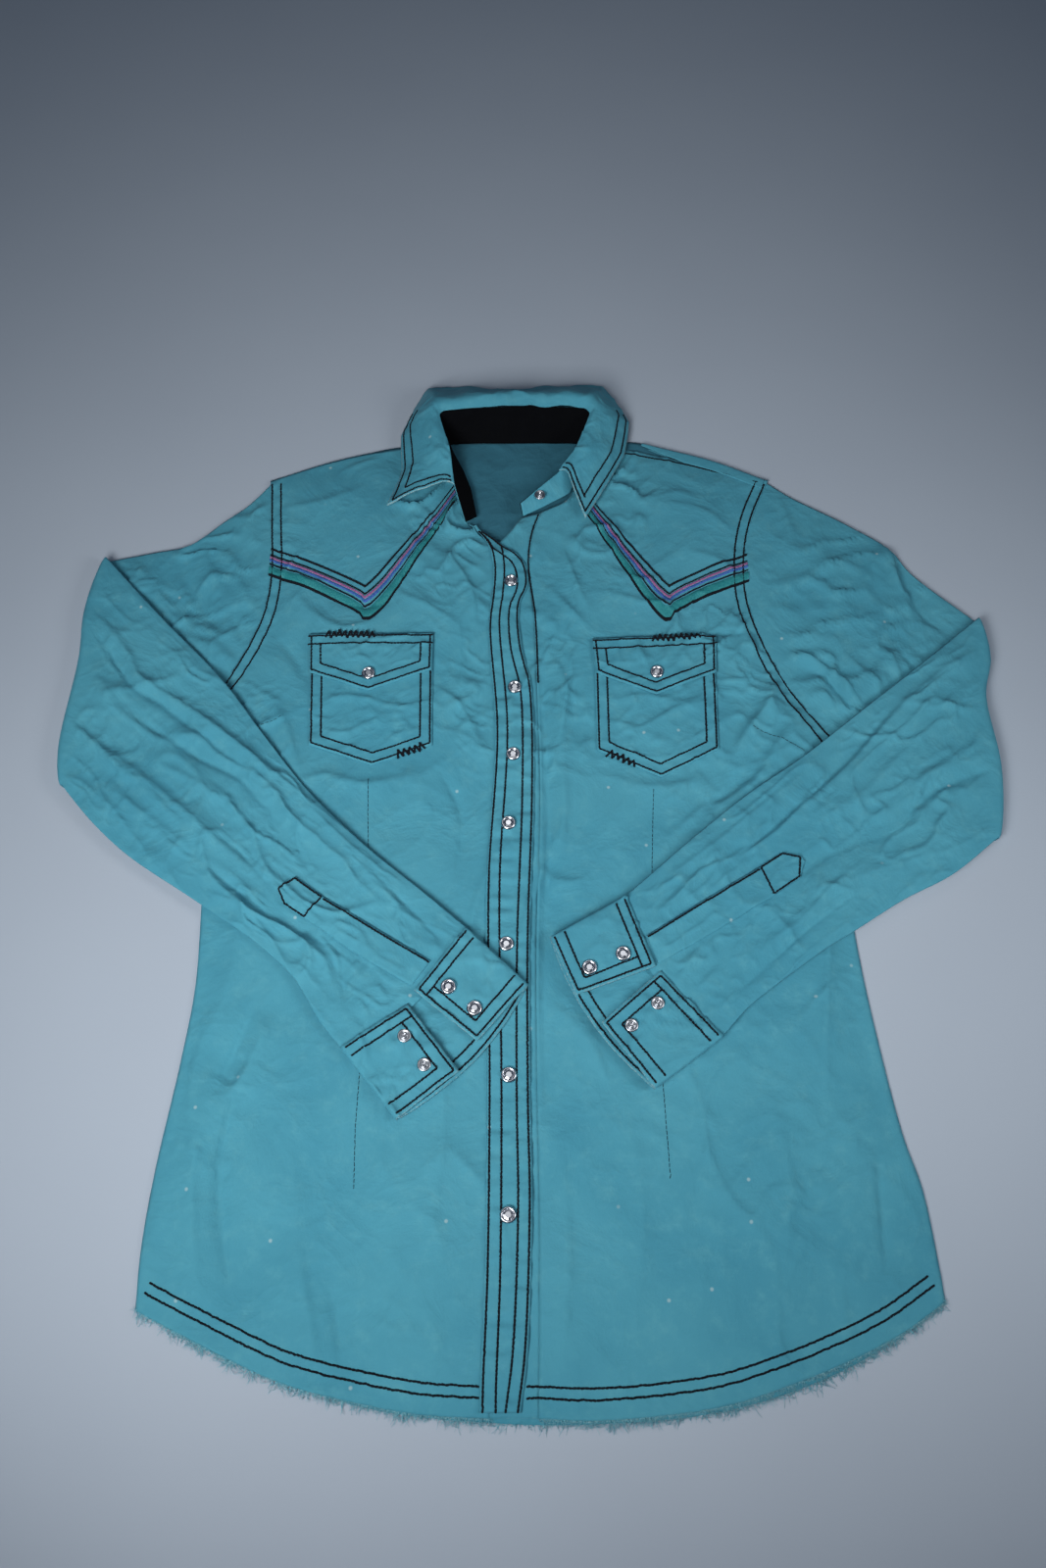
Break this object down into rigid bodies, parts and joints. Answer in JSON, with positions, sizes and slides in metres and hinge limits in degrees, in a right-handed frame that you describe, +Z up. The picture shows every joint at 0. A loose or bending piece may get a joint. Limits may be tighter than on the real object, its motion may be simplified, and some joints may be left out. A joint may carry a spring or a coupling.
{
  "type": "western snap shirt",
  "caption": "Long-sleeved western snap shirt laid flat on its back, collar open and forearms folded over the front, with pointed flap pockets and a raw hem.",
  "frame": {"origin": "middle of the footprint, on the surface that the shirt lies on", "axes": "+X to the viewer's right across the shirt, +Y from the hem to the collar, +Z up from the surface"},
  "size_m": [0.6704, 0.7628, 0.0288],
  "materials": {
    "cloth": "garment-washed cotton poplin, turquoise",
    "lining": "black cotton twill, collar stand lining",
    "snap_cap": "polished nickel-chrome snap caps",
    "snap_stud": "plated steel snap studs"
  },
  "bodies": {
    "root": {"back": "cloth", "back_yoke": "cloth", "front_left": "cloth", "front_right": "cloth", "under_placket": "cloth", "placket": "cloth", "pocket_left": "cloth", "pocket_right": "cloth", "pocket_flap_left": "cloth", "pocket_flap_right": "cloth", "pocket_snap_left": "snap_cap", "pocket_snap_right": "snap_cap", "placket_snap_1": "snap_cap", "placket_snap_2": "snap_cap", "placket_snap_3": "snap_cap", "placket_snap_4": "snap_cap", "placket_snap_5": "snap_cap", "placket_snap_6": "snap_cap", "placket_snap_7": "snap_cap", "sleeve_left": "cloth", "sleeve_right": "cloth", "cuff_left": "cloth", "cuff_right": "cloth", "sleeve_placket_left": "cloth", "sleeve_placket_right": "cloth", "cuff_cap_left_1": "snap_cap", "cuff_cap_left_2": "snap_cap", "cuff_cap_right_1": "snap_cap", "cuff_cap_right_2": "snap_cap", "cuff_stud_left_1": "snap_stud", "cuff_stud_left_2": "snap_stud", "cuff_stud_right_1": "snap_stud", "cuff_stud_right_2": "snap_stud", "collar_stand": "lining", "collar_leaf": "cloth", "collar_stud": "snap_stud"}
  },
  "joints": []
}
